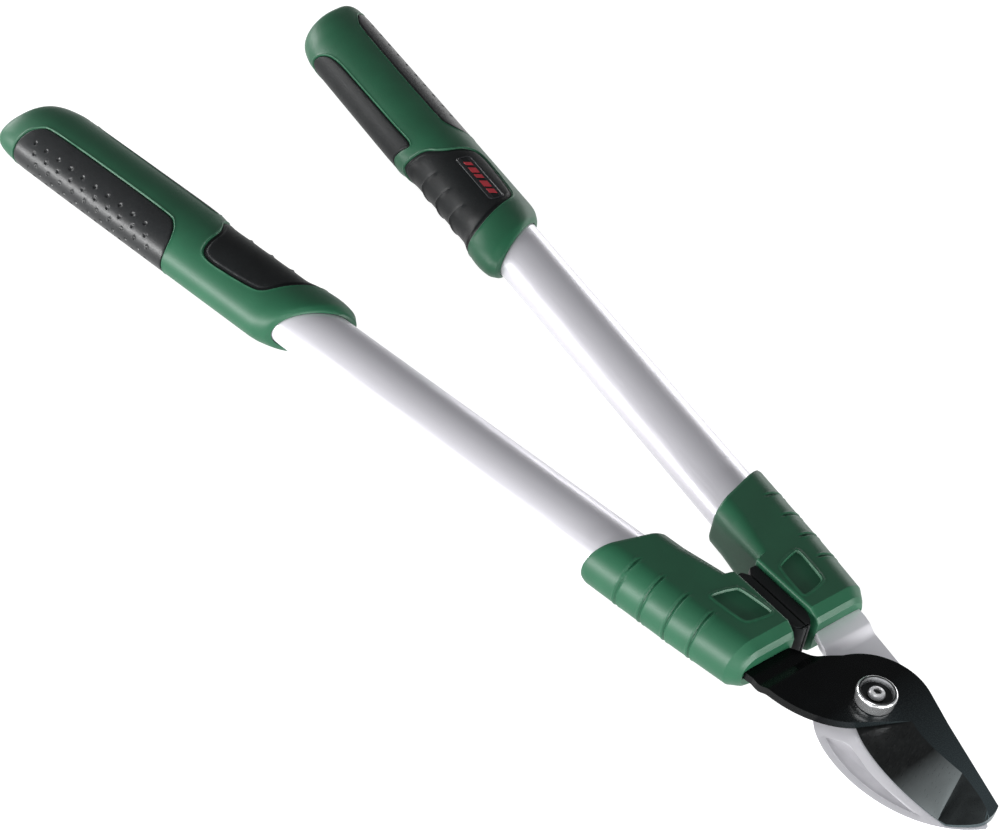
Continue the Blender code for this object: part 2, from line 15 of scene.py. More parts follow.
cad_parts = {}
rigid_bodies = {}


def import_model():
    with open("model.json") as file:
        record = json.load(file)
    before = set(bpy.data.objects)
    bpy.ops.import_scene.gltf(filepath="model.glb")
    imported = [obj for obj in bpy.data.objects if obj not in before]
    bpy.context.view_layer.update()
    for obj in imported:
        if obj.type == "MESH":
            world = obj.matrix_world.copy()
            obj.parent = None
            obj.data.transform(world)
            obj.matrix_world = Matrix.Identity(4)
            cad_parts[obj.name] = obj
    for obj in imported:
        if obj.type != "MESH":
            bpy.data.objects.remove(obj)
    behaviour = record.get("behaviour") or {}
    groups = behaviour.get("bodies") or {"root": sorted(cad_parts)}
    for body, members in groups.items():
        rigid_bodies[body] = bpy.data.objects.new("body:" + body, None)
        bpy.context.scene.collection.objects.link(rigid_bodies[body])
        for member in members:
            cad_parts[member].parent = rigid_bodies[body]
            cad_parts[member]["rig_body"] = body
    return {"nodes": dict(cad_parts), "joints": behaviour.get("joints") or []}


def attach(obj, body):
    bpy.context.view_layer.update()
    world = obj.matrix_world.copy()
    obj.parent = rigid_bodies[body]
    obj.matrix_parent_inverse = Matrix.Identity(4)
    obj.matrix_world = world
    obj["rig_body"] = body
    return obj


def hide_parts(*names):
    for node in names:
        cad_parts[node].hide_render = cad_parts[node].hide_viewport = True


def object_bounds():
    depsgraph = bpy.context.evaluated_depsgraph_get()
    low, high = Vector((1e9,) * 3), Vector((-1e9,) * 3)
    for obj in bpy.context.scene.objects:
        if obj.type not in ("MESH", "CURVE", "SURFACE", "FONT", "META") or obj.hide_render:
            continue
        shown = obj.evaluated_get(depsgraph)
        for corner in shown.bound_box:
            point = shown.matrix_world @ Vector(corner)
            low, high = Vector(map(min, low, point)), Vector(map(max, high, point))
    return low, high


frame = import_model()
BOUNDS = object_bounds()
PIVOT = np.array(frame["joints"][0]["pos_m"], float) * 1000.0
LOW = np.array(BOUNDS[0]) * 1000.0
HIGH = np.array(BOUNDS[1]) * 1000.0

GAP = 0.3  # between neighbouring parts
ARM_ANGLE = math.radians(8.816)  # of each arm to the closed tool's middle line
ARM_OFFSET = 15.76  # of each arm's axis from the pivot
COS, SIN, TAN = math.cos(ARM_ANGLE), math.sin(ARM_ANGLE), math.tan(ARM_ANGLE)


# --- numbers ---

def fade(value, low, high):
    """0 below low, 1 above high, smooth between; low may be above high."""
    t = np.clip((np.asarray(value, float) - low) / (high - low), 0.0, 1.0)
    return t * t * (3.0 - 2.0 * t)


def bump(value, centre, width):
    """1 at the centre, falling off to both sides."""
    return np.exp(-((value - centre) / width) ** 2)


class Track:
    """Smooth curve through a table, without overshoot."""

    def __init__(self, xs, ys):
        self.x = np.array(xs, float)
        self.y = np.array(ys, float)
        step = np.diff(self.x)
        rise = np.diff(self.y) / step
        slope = np.zeros(len(self.x))
        slope[0], slope[-1] = rise[0], rise[-1]
        for i in range(1, len(rise)):
            if rise[i - 1] * rise[i] > 0.0:
                near = 2.0 * step[i] + step[i - 1]
                far = step[i] + 2.0 * step[i - 1]
                slope[i] = (near + far) / (near / rise[i - 1] + far / rise[i])
        self.slope = slope

    def __call__(self, x):
        x = np.clip(x, self.x[0], self.x[-1])
        i = np.clip(np.searchsorted(self.x, x, side="right") - 1, 0, len(self.x) - 2)
        step = self.x[i + 1] - self.x[i]
        t = (x - self.x[i]) / step
        a, b = self.y[i], self.y[i + 1]
        c, d = self.slope[i] * step, self.slope[i + 1] * step
        return a + t * (c + t * (3.0 * (b - a) - 2.0 * c - d + t * (2.0 * (a - b) + c + d)))


def rounded(outline, times=2, cut=0.22):
    """Closed outline with its corners cut and cut again."""
    points = np.array(outline, float)
    for _ in range(times):
        ahead = np.roll(points, -1, axis=0)
        points = np.stack([points * (1.0 - cut) + ahead * cut, points * cut + ahead * (1.0 - cut)], 1)
        points = points.reshape(-1, 2)
        cut = 0.25
    return points


def outline_field(points, outline):
    """Distance to a closed outline, positive inside it."""
    best = np.full(len(points), 1e9)
    inside = np.zeros(len(points), bool)
    for a, b in zip(outline, np.roll(outline, -1, axis=0)):
        edge = b - a
        rel = points - a
        t = np.clip(rel @ edge / (edge @ edge), 0.0, 1.0)
        gap = rel - t[:, None] * edge
        best = np.minimum(best, np.einsum("ij,ij->i", gap, gap))
        spans = (a[1] > points[:, 1]) != (b[1] > points[:, 1])
        if a[1] != b[1]:
            inside ^= spans & (points[:, 0] < a[0] + (points[:, 1] - a[1]) * edge[0] / (b[1] - a[1]))
    return np.sqrt(best) * np.where(inside, 1.0, -1.0)


def bezier(p0, p1, p2, p3, steps):
    t = np.linspace(0.0, 1.0, steps + 1)[:, None]
    u = 1.0 - t
    p0, p1, p2, p3 = (np.array(p, float) for p in (p0, p1, p2, p3))
    return u ** 3 * p0 + 3.0 * u * u * t * p1 + 3.0 * u * t * t * p2 + t ** 3 * p3


def circle_arc(radius, start, end, steps):
    a = np.radians(np.linspace(start, end, steps + 1))
    return np.stack([radius * np.cos(a), radius * np.sin(a)], 1)


def arm_to_head(side, points):
    """Arm coordinates to the pivot's frame; side is 1 for the hook arm, -1 for the blade arm."""
    station, across, up = np.array(points, float).T
    return np.stack([-station * COS - across * SIN,
                     side * (ARM_OFFSET + station * SIN - across * COS), up], 1)


# --- meshes ---

def new_mesh(name, points, faces, close, clean):
    """Mesh in metres, with points that are close merged and its faces turned outwards."""
    mesh = bpy.data.meshes.new(name)
    mesh.from_pydata((points * 0.001).tolist(), [], [tuple(map(int, face)) for face in faces])
    bm = bmesh.new()
    bm.from_mesh(mesh)
    bmesh.ops.remove_doubles(bm, verts=bm.verts, dist=close)
    if clean:
        bmesh.ops.dissolve_degenerate(bm, edges=bm.edges, dist=1e-6)
        bmesh.ops.delete(bm, geom=[v for v in bm.verts if not v.link_faces], context="VERTS")
    bmesh.ops.recalc_face_normals(bm, faces=bm.faces)
    bm.to_mesh(mesh)
    bm.free()
    return mesh


def make_piece(node, points, faces, material, slot, sharp=32.0):
    """Piece from points about the pivot, kept inside the CAD's box."""
    points = np.clip(np.asarray(points, float) + PIVOT, LOW, HIGH)
    return place_piece(node, new_mesh(node, points, faces, 2e-6, True), material, sharp)


def place_piece(node, mesh, material, sharp=32.0):
    """Object that stands for a CAD node and moves with its body."""
    mesh.name = f"{node}_look"
    mesh.materials.clear()
    mesh.materials.append(material)
    mesh.shade_smooth()
    mesh.set_sharp_from_angle(angle=math.radians(sharp))
    piece = bpy.data.objects.new(mesh.name, mesh)
    bpy.context.scene.collection.objects.link(piece)
    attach(piece, frame["nodes"][node]["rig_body"])
    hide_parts(node)
    return piece


def loft_mesh(rings, caps=True):
    """Points and faces of a skin over rings; each end is closed with one face."""
    columns = len(rings[0])
    last = (len(rings) - 1) * columns
    faces = []
    for a in range(0, last, columns):
        b = a + columns
        for c in range(columns):
            d = (c + 1) % columns
            faces.append((a + c, a + d, b + d, b + c))
    if caps:
        faces.append(tuple(range(columns)))
        faces.append(tuple(range(last, last + columns)))
    return np.concatenate([np.asarray(ring, float) for ring in rings]), faces


def at_height(outline, z):
    """Points of a flat outline at a height."""
    outline = np.asarray(outline, float)[:, :2]
    return np.column_stack([outline, np.full(len(outline), float(z))])


def lathe(profile, steps=96):
    """Solid of revolution about Z from a closed or pole-to-pole profile of (radius, height)."""
    angles = np.linspace(0.0, math.tau, steps, endpoint=False)
    circle = np.stack([np.cos(angles), np.sin(angles)], 1)
    rings = [at_height(radius * circle, height) for radius, height in profile]
    if profile[0][0] > 0.0:
        rings.append(rings[0])
    return loft_mesh(rings, caps=False)


def working_object(points, faces):
    """Temporary object about the pivot, for booleans."""
    item = bpy.data.objects.new("work", new_mesh("work", points, faces, 1e-6, False))
    bpy.context.scene.collection.objects.link(item)
    return item


def prism(outline, low, high):
    """Temporary object between two heights."""
    return working_object(*loft_mesh([at_height(outline, low), at_height(outline, high)]))


def carve(target, others, operation="DIFFERENCE"):
    """Apply booleans with each of the other objects, which are then removed."""
    for other in others:
        cut = target.modifiers.new("cut", "BOOLEAN")
        cut.operation = operation
        cut.solver = "EXACT"
        cut.object = other
    bake(target)
    for other in others:
        bpy.data.objects.remove(other, do_unlink=True)


def bake(target):
    """Apply the modifiers of a temporary object."""
    depsgraph = bpy.context.evaluated_depsgraph_get()
    mesh = bpy.data.meshes.new_from_object(target.evaluated_get(depsgraph))
    target.modifiers.clear()
    target.data = mesh


def soften(target, width, angle=35.0, segments=2):
    bevel = target.modifiers.new("bevel", "BEVEL")
    bevel.width = width * 0.001
    bevel.segments = segments
    bevel.limit_method = "ANGLE"
    bevel.angle_limit = math.radians(angle)
    bake(target)


def piece_from(target, node, material, sharp=32.0):
    """Turn a temporary object about the pivot into a piece."""
    mesh = target.data
    mesh.transform(Matrix.Translation(Vector(PIVOT * 0.001)))
    bpy.data.objects.remove(target, do_unlink=True)
    return place_piece(node, mesh, material, sharp)


def even_shading(piece):
    """Large flat faces keep their own direction beside small bevels."""
    weighted = piece.modifiers.new("weighted", "WEIGHTED_NORMAL")
    weighted.keep_sharp = True
    weighted.weight = 80


def paint(piece, material, chosen):
    """Second finish for the faces that chosen picks by centre (mm about the pivot) and direction."""
    piece.data.materials.append(material)
    index = len(piece.data.materials) - 1
    for face in piece.data.polygons:
        if chosen(np.array(face.center) * 1000.0 - PIVOT, face.normal):
            face.material_index = index


def strip(first, second):
    """Quads between two rows of points."""
    return [(first[c], first[c + 1], second[c + 1], second[c]) for c in range(len(first) - 1)]


def add_rings(points, faces, row, rings):
    """Carry a row of points on through further rings; gives the last ring's indices."""
    for ring in rings:
        start = sum(map(len, points))
        fresh = np.arange(start, start + len(ring))
        points.append(ring)
        faces.extend(strip(row, fresh))
        row = fresh
    return row


class Net:
    """Triangles over two parameters, which can be cut along the lines where a field is zero."""

    def __init__(self, along, around, place):
        a, b = np.meshgrid(along, around, indexing="ij")
        self.at = np.stack([a.ravel(), b.ravel()], 1)
        index = np.arange(a.size).reshape(a.shape)
        p, q, r, s = index[:-1, :-1], index[1:, :-1], index[1:, 1:], index[:-1, 1:]
        odd = sum(np.indices(p.shape)) % 2 == 1
        tris = [np.stack([p, s, np.where(odd, r, q)], -1),
                np.stack([np.where(odd, p, q), np.where(odd, r, s), np.where(odd, q, r)], -1)]
        self.tris = np.concatenate([t.reshape(-1, 3) for t in tris])
        self.first_row = index[0]
        self.last_row = index[-1]
        self.place = place
        self.low, self.high = around[0], around[-1]

    def cut(self, field):
        """Split the triangles along the field's zero line; points near the line count as on it."""
        near = 0.04
        values = field(self.at)
        values[np.abs(values) < near] = 0.0
        sign = np.sign(values).astype(int)
        at_tri = sign[self.tris]
        mixed = (at_tri.max(1) > 0) & (at_tri.min(1) < 0)
        made, points, fresh = {}, [], []

        def between(i, j):
            key = (i, j) if i < j else (j, i)
            if key not in made:
                part = values[key[0]] / (values[key[0]] - values[key[1]])
                made[key] = len(self.at) + len(points)
                points.append(self.at[key[0]] * (1.0 - part) + self.at[key[1]] * part)
            return made[key]

        for tri in self.tris[mixed].tolist():
            signs = [int(sign[i]) for i in tri]
            lone = 0 if 0 in signs else -sum(signs)
            k = signs.index(lone)
            a, b, c = tri[k:] + tri[:k]
            if lone == 0:
                m = between(b, c)
                fresh += [(a, b, m), (a, m, c)]
            else:
                m, n = between(a, b), between(a, c)
                fresh += [(a, m, n), (m, b, c), (m, c, n)]
        if points:
            self.at = np.concatenate([self.at, np.array(points)])
            self.tris = np.concatenate([self.tris[~mixed], np.array(fresh)])

    def middles(self):
        return self.at[self.tris].mean(1)

    def surface(self):
        """Places and outward directions of the net's points."""
        step = 0.03
        along = self.place(self.at + (step, 0.0)) - self.place(self.at - (step, 0.0))
        around = self.place(self.at + (0.0, step)) - self.place(self.at - (0.0, step))
        normal = np.cross(around, along)
        return self.place(self.at), normal / np.maximum(np.linalg.norm(normal, axis=1), 1e-9)[:, None]

    def rim(self, tris):
        """Directed edges that only one triangle has, the net's own seam left out."""
        edges = np.concatenate([tris[:, [0, 1]], tris[:, [1, 2]], tris[:, [2, 0]]])
        size = len(self.at)
        code = edges[:, 0] * size + edges[:, 1]
        back = edges[:, 1] * size + edges[:, 0]
        edges = edges[~np.isin(code, back)]
        v = self.at[:, 1]
        on_low = (np.abs(v - self.low) < 1e-6)[edges].all(1)
        on_high = (np.abs(v - self.high) < 1e-6)[edges].all(1)
        return edges[~(on_low | on_high)]


def slab(net, top, floor, tris):
    """Closed sheet between two sets of places, over some of the net's triangles."""
    size = len(top)
    walls = [(b, a, a + size, b + size) for a, b in net.rim(tris).tolist()]
    faces = tris.tolist() + (tris[:, ::-1] + size).tolist() + walls
    return np.concatenate([top, floor]), faces


# --- materials ---

def feed(node, values):
    """Set a node's inputs by name."""
    for label, value in values.items():
        node.inputs[label].default_value = value
    return node


def surface(name, colour, roughness, metallic=0.0, vary=0.12, scale=90.0, grain=1400.0, grain_depth=0.02,
            stretch=(1.0, 1.0, 1.0), turn=0.0, rough_vary=0.10, wear=0.0, specular=0.5, fleck=0.0,
            painted_light_ramp=None):
    """Uneven colour and gloss, a fine grain in relief, pale flecks, worn edges, and painted light: a colour
    that may brighten between two distances ahead of the pivot, in metres, standing in for reflected light."""
    material = bpy.data.materials.new(name)
    material.use_nodes = True
    nodes, links = material.node_tree.nodes, material.node_tree.links
    shader = feed(nodes["Principled BSDF"], {"Metallic": metallic, "Specular IOR Level": specular})
    where = nodes.new("ShaderNodeTexCoord")
    mapping = nodes.new("ShaderNodeMapping")
    mapping.vector_type = "TEXTURE"
    feed(mapping, {"Scale": tuple(1.0 / k for k in stretch), "Rotation": (0.0, 0.0, turn)})
    links.new(where.outputs["Object"], mapping.inputs["Vector"])

    def noise(size, detail, source):
        made = feed(nodes.new("ShaderNodeTexNoise"), {"Scale": size, "Detail": detail})
        links.new(source, made.inputs["Vector"])
        return made.outputs["Fac"]

    def ranged(source, low, high, to_low, to_high):
        made = feed(nodes.new("ShaderNodeMapRange"), {"From Min": low, "From Max": high,
                                                      "To Min": to_low, "To Max": to_high})
        links.new(source, made.inputs["Value"])
        return made.outputs["Result"]

    def mixed(factor, first, second):
        made = nodes.new("ShaderNodeMix")
        made.data_type = "RGBA"
        links.new(factor, made.inputs["Factor"])
        for socket, value in (("A", first), ("B", second)):
            target = next(i for i in made.inputs if i.name == socket and i.type == "RGBA")
            if isinstance(value, tuple):
                target.default_value = (*value, 1.0)
            else:
                links.new(value, target)
        return next(o for o in made.outputs if o.type == "RGBA")

    broad = noise(scale, 4.0, where.outputs["Object"])
    fine = noise(grain, 3.0, mapping.outputs["Vector"])
    dark = tuple(c * (1.0 - vary) for c in colour)
    light = tuple(min(1.0, c * (1.0 + vary)) for c in colour)
    tint = mixed(ranged(broad, 0.35, 0.65, 0.0, 1.0), dark, light)
    if fleck:
        pale = tuple(min(1.0, c * (1.0 + fleck) + 0.01) for c in colour)
        tint = mixed(ranged(fine, 0.52, 0.72, 0.0, 0.6), tint, pale)
    if wear:
        worn = tuple(min(1.0, c * 1.5 + 0.03) for c in colour)
        geometry = nodes.new("ShaderNodeNewGeometry")
        tint = mixed(ranged(geometry.outputs["Pointiness"], 0.52, 0.60, 0.0, wear), tint, worn)
    # painted light: the colour grows lighter between the two distances, standing in for reflected light
    if painted_light_ramp:
        start, end, times = painted_light_ramp
        apart = nodes.new("ShaderNodeSeparateXYZ")
        links.new(where.outputs["Object"], apart.inputs["Vector"])
        origin = PIVOT[0] * 0.001
        pale = tuple(min(1.0, c * times) for c in colour)
        tint = mixed(ranged(apart.outputs["X"], origin + start, origin + end, 0.0, 1.0), tint, pale)
    links.new(tint, shader.inputs["Base Color"])
    gloss = ranged(fine, 0.3, 0.7, max(0.03, roughness - rough_vary), min(1.0, roughness + rough_vary))
    links.new(gloss, shader.inputs["Roughness"])
    relief = feed(nodes.new("ShaderNodeBump"), {"Strength": 0.5, "Distance": grain_depth * 0.001})
    links.new(fine, relief.inputs["Height"])
    links.new(relief.outputs["Normal"], shader.inputs["Normal"])
    return material


GREEN = surface("green_plastic", (0.0086, 0.062, 0.030), 0.45, vary=0.06, scale=60.0, grain=2600.0,
                grain_depth=0.025, wear=0.2, specular=0.33, rough_vary=0.05)
RUBBER = surface("black_rubber", (0.0046, 0.0054, 0.0060), 0.38, vary=0.15, scale=120.0, grain=2400.0,
                 grain_depth=0.05, wear=0.2, fleck=0.5, specular=0.36)
SOFT = surface("soft_rubber", (0.0048, 0.0056, 0.0060), 0.46, vary=0.15, scale=120.0, grain=2400.0,
               grain_depth=0.05, wear=0.2, fleck=0.5, specular=0.15)
TUBES = {side: surface(f"aluminium_{name}", (0.67, 0.658, 0.70), 0.34, metallic=0.60, vary=0.015,
                       scale=25.0, grain=1500.0, grain_depth=0.006, stretch=(0.02, 1.0, 1.0),
                       turn=-side * ARM_ANGLE, rough_vary=0.04)
         for side, name in ((1, "left"), (-1, "right"))}
HOOK = surface("hook_steel", (0.92, 0.91, 0.955), 0.40, metallic=0.45, vary=0.025, scale=50.0, grain=1500.0,
               grain_depth=0.008, stretch=(1.0, 0.15, 1.0), turn=0.5, rough_vary=0.05)
# painted light: the coated blade and its ground bevel grow lighter towards the tip, for the light they
# reflect there
BLADE = surface("coated_steel", (0.0009, 0.0012, 0.0013), 0.27, vary=0.25, scale=110.0, grain=1800.0,
                grain_depth=0.004, rough_vary=0.04, specular=0.15, painted_light_ramp=(-0.006, 0.060, 36.0))
GROUND = surface("ground_steel", (0.0075, 0.0084, 0.0085), 0.36, metallic=0.4, vary=0.35, scale=70.0,
                 grain=2000.0, grain_depth=0.006, stretch=(1.0, 0.08, 1.0), turn=0.38, fleck=0.25,
                 painted_light_ramp=(0.034, 0.066, 48.0))
# painted shade: the tip's facet gets a darker tone than the brightened bevel beside it, for the shade it
# lies in
TIP_FACET_SHADE = surface("tip_facet_painted_shade", (0.019, 0.022, 0.0225), 0.33, vary=0.35, scale=90.0, grain=1800.0,
              grain_depth=0.006, specular=0.2)
RECESS = surface("cast_steel", (0.64, 0.63, 0.67), 0.52, metallic=0.3, vary=0.05, scale=120.0, grain=2200.0,
                 grain_depth=0.03, rough_vary=0.06)
BUTTON = surface("polished_steel", (0.88, 0.88, 0.89), 0.30, metallic=0.6, vary=0.04, scale=300.0,
                 grain=2200.0, grain_depth=0.004, rough_vary=0.05)
CHROME = surface("chrome", (0.80, 0.81, 0.82), 0.17, metallic=0.9, vary=0.03, scale=200.0, grain=2200.0,
                 grain_depth=0.002, rough_vary=0.03)
# dark steel for the cap's dish, and painted shade inside the bolt's hexagon socket
DARK_AND_SHADE = surface("dark_steel_and_painted_shade", (0.006, 0.007, 0.007), 0.40, metallic=0.3, vary=0.3, scale=500.0,
                  grain=2600.0, grain_depth=0.03, fleck=1.5)
ZINC = surface("zinc_steel", (0.46, 0.46, 0.47), 0.34, metallic=0.95, vary=0.12, scale=300.0, grain=2500.0,
               grain_depth=0.02)
NYLON = surface("grey_nylon", (0.10, 0.10, 0.105), 0.55, vary=0.1, grain=2500.0)
BADGE = surface("badge_black", (0.006, 0.0065, 0.008), 0.30, vary=0.2, scale=200.0, grain=4000.0,
                grain_depth=0.01)


# --- grips ---

GRIP_START, GRIP_END = 334.0, 552.0
PAD_DEPTH = 2.4
OVAL = (17.2, 11.8)  # half axes of the hole for the tube
BORE_END = 540.3

# station, outer half width, inner half width, half depth
GRIP = np.array((
    (GRIP_START, 17.8, 20.4, 13.2), (337.0, 19.6, 23.6, 14.8), (343.0, 21.4, 24.8, 15.4),
    (350.0, 22.8, 24.0, 15.6), (357.0, 23.2, 21.5, 15.6), (408.0, 23.2, 21.5, 15.6),
    (424.0, 23.2, 24.4, 15.6), (440.0, 23.2, 24.8, 15.6), (527.0, 23.0, 24.7, 15.5),
    (539.0, 22.4, 23.2, 14.9), (546.5, 21.5, 20.9, 13.7), (550.4, 19.8, 17.4, 11.4),
    (GRIP_END, 17.0, 12.8, 8.2)))
GRIP_OUTER, GRIP_INNER, GRIP_DEPTH = (Track(GRIP[:, 0], GRIP[:, k]) for k in (1, 2, 3))

# angles round the grip's usual section, and the lengths round it up to them
TURNS = np.linspace(0.0, math.tau, 2881)
STEPS = np.hypot(np.diff(23.3 * np.cos(TURNS)), np.diff(15.6 * np.sin(TURNS)))
LENGTHS = np.concatenate([[0.0], np.cumsum(STEPS)])
GIRTH = float(LENGTHS[-1])


def to_angle(length):
    return np.interp(np.mod(length, GIRTH), LENGTHS, TURNS) + np.floor(length / GIRTH) * math.tau


def to_length(degrees):
    whole = np.floor(degrees / 360.0)
    return float(np.interp(math.radians(degrees - 360.0 * whole), TURNS, LENGTHS) + whole * GIRTH)


def end_share(station):
    """How far a station is into the part of the grip that slants at its end."""
    return np.clip((station - 520.0) / (GRIP_END - 520.0), 0.0, 1.0)


def grip_point(at):
    """Station along the arm and length round the grip to a point."""
    station, angle = at[:, 0], to_angle(at[:, 1])
    across, up = np.cos(angle), np.sin(angle)
    y = np.where(across > 0.0, GRIP_INNER(station), GRIP_OUTER(station)) * across
    z = GRIP_DEPTH(station) * up
    collar_reach, collar_slant = 26.0, 11.3
    collar = np.clip(1.0 - (station - GRIP_START) / collar_reach, 0.0, 1.0)
    x = station - collar_slant * across * collar - end_share(station) * (1.0 + 0.37 * y - 0.02 * z)
    return np.stack([x, y, z], 1)


def unrolled(corners):
    """Corners given as station and angle in degrees, as station and length."""
    return rounded([(s, to_length(a)) for s, a in corners])


def mirrored(corners):
    """Corners followed by their mirror images over the grip's middle plane."""
    return corners + tuple((s, -a) for s, a in reversed(corners))


OUTER_PAD = unrolled((
    (431.0, 106.0), (480.0, 105.5), (525.0, 107.0), (530.0, 115.0), (534.6, 127.0), (538.0, 150.0),
    (539.0, 180.0), (538.0, 210.0), (534.6, 233.0), (530.0, 245.0), (525.0, 253.0), (480.0, 254.5),
    (431.0, 254.0), (427.5, 249.0), (424.0, 241.0), (421.0, 225.0), (419.5, 205.0), (419.5, 180.0),
    (419.5, 155.0), (421.0, 135.0), (424.0, 119.0), (427.5, 111.0)))
INNER_PAD = unrolled(mirrored((
    (426.2, 1.0), (424.2, 24.0), (421.0, 44.5), (440.0, 43.0), (480.0, 41.5), (504.0, 40.5),
    (513.0, 35.0), (518.0, 24.0), (521.0, 8.0))))
STOP_PAD = unrolled(mirrored((
    (345.6, 8.0), (346.4, 36.0), (349.7, 59.0), (354.6, 86.0), (359.6, 112.0), (364.0, 119.5),
    (380.0, 124.0), (395.0, 126.0), (401.5, 121.0), (404.2, 104.0), (405.4, 79.0), (409.0, 63.0),
    (412.8, 52.0), (414.6, 28.0), (416.6, 2.0))))


def dimple_centres():
    """Eight rows along the outer pad, each set back from the one before."""
    first_angle, between_rows = 137.0, 15.5
    first_station, set_back, pitch = 523.8, 4.0, 9.5
    low, high = 430.0, 524.5
    centres = []
    for row in range(8):
        for n in range(-3, 10):
            station = first_station - set_back * row - pitch * n
            if low <= station <= high:
                centres.append((station, to_length(first_angle + between_rows * row)))
    return np.array(centres)


DIMPLES = dimple_centres()
DIMPLE_RADIUS = 1.35


def on_grip(at):
    """Real station and length round the grip."""
    return np.stack([grip_point(at)[:, 0], at[:, 1]], 1)


def pad_fields(at):
    """Distances into the outer, inner and stop pads."""
    flat = on_grip(at)
    wrapped = flat - (0.0, GIRTH)
    outer = outline_field(flat, OUTER_PAD)
    inner = np.maximum(outline_field(flat, INNER_PAD), outline_field(wrapped, INNER_PAD))
    stop = np.maximum(outline_field(flat, STOP_PAD), outline_field(wrapped, STOP_PAD))
    return outer, inner, stop


def dimple_field(at):
    flat = on_grip(at)
    best = np.full(len(flat), 1e9)
    for centre in DIMPLES:
        best = np.minimum(best, np.hypot(flat[:, 0] - centre[0], flat[:, 1] - centre[1]))
    return DIMPLE_RADIUS - best


CRESTS = (366.2, 381.0, 396.0)


def crest_place(at):
    """Station along the slanted crests between the finger rests, and angle from the inner side."""
    angle = np.degrees(to_angle(at[:, 1]))
    angle = np.abs(np.where(angle > 180.0, angle - 360.0, angle))
    return grip_point(at)[:, 0] - 3.2 * (1.0 - np.minimum(angle, 80.0) / 40.0), angle


def grip_height(at):
    """Relief: a bead and a groove round each pad, sunk pad edges, dimples, finger rests and crests."""
    bead, groove, dimple_depth, rest_depth, crest_height = 0.24, 0.60, 0.70, 0.38, 0.48
    outer, inner, stop = pad_fields(at)
    height = np.zeros(len(at))
    for field, ledge in ((outer, 0.0), (inner, 0.0), (stop, 1.3)):
        height += bead * bump(field, -1.05, 0.40)
        height -= groove * fade(field, -0.75, -0.3) * (field < 0.0)
        rise = np.clip(field - ledge, 0.0, 1.0)
        height -= np.where(field > 0.0, groove * (1.0 - rise) ** 2, 0.0)
    dimple = np.clip(dimple_field(at) / DIMPLE_RADIUS, 0.0, 1.0)
    height -= dimple_depth * (1.0 - (1.0 - dimple) ** 2)
    place, angle = crest_place(at)
    wave = np.abs(np.sin(math.pi * (place - CRESTS[0]) / (CRESTS[1] - CRESTS[0])))
    reach = fade(place, 352.5, 356.0) * fade(place, 411.0, 407.0) * fade(angle, 46.0, 20.0)
    height -= rest_depth * wave ** 0.8 * reach * fade(stop, 1.2, 3.0)
    for crest in CRESTS:
        height += crest_height * bump(place, crest, 0.52) * fade(angle, 47.0, 34.0)
    return height


def spaced(*spans):
    """Values from spans of (start, end, step)."""
    values = [np.linspace(a, b, max(2, int(round((b - a) / step)) + 1))[:-1] for a, b, step in spans]
    return np.concatenate(values + [[spans[-1][1]]])


def grip_meshes():
    """Points and faces of the shell and the three pads, about the arm's own axis."""
    quarter = GIRTH / 4.0
    net = Net(spaced((GRIP_START, 345.0, 0.8), (345.0, 428.0, 1.1), (428.0, 528.0, 0.85),
                     (528.0, 546.0, 0.8), (546.0, GRIP_END, 0.35)),
              spaced((0.0, quarter, 1.15), (quarter, 3.0 * quarter, 0.85), (3.0 * quarter, GIRTH, 1.15)),
              grip_point)
    net.cut(dimple_field)
    net.cut(lambda at: dimple_field(at) - 0.55)
    for k in range(3):
        for level in (-1.6, -1.05, -0.6, -GAP, 0.0, 0.4, 1.0):
            net.cut(lambda at: pad_fields(at)[k] - level)
    for level in (1.5, 2.1):
        net.cut(lambda at: pad_fields(at)[2] - level)
    for crest in CRESTS:
        net.cut(lambda at: crest_place(at)[0] - crest)

    base, out = net.surface()
    top = base + out * grip_height(net.at)[:, None]
    floor = base - out * PAD_DEPTH
    bed = base - out * (PAD_DEPTH + GAP)
    fields = pad_fields(net.middles())
    made = {label: slab(net, top, floor, net.tris[field > 0.0])
            for label, field in zip(("outer_pad", "inner_pad", "stop_pad"), fields)}

    covered = np.max(fields, axis=0) > -GAP
    size = len(base)
    columns = len(net.first_row)
    ends = [set(row.tolist()) for row in (net.first_row, net.last_row)]
    walls = [(b, a, a + size, b + size) for a, b in net.rim(net.tris[~covered]).tolist()
             if not any(a in end and b in end for end in ends)]
    faces = net.tris[~covered].tolist() + (net.tris[covered] + size).tolist() + walls
    points = [top, bed]

    angle = to_angle(net.at[net.first_row, 1])
    rim = top[net.first_row]
    bore = np.stack([rim[:, 0], OVAL[0] * np.cos(angle), OVAL[1] * np.sin(angle)], 1)
    lip = rim * 0.5 + bore * 0.5 - (0.35, 0.0, 0.0)
    deep = np.stack([np.full(columns, BORE_END), bore[:, 1], bore[:, 2]], 1)
    inner_rings = [lip, bore, deep, deep * (1.0, 0.02, 0.02)]
    tail = top[net.last_row]
    centre = tail.mean(0)
    dome = [centre + (tail - centre) * k for k in (0.6, 0.02)]
    for row, rings in ((net.first_row, inner_rings), (net.last_row, dome)):
        faces.append(tuple(add_rings(points, faces, row, rings)[:-1]))
    made["shell"] = (np.concatenate(points), faces)
    return made


def set_end(side, points):
    """The hook arm's outer pad runs nearer to the grip's end; the blade arm's grip ends squarer."""
    pad_shift, cut_slant, inner_side = 6.5, 0.20, 21.0
    station, across = points[:, 0], points[:, 1]
    if side > 0:
        reach = fade(station, 430.0, 536.0) * fade(station, 556.0, 540.0)
        shift = pad_shift * reach * fade(across, -2.0, -14.0)
    else:
        shift = -cut_slant * end_share(station) * (inner_side - across)
    return points + shift[:, None] * (1.0, 0.0, 0.0)


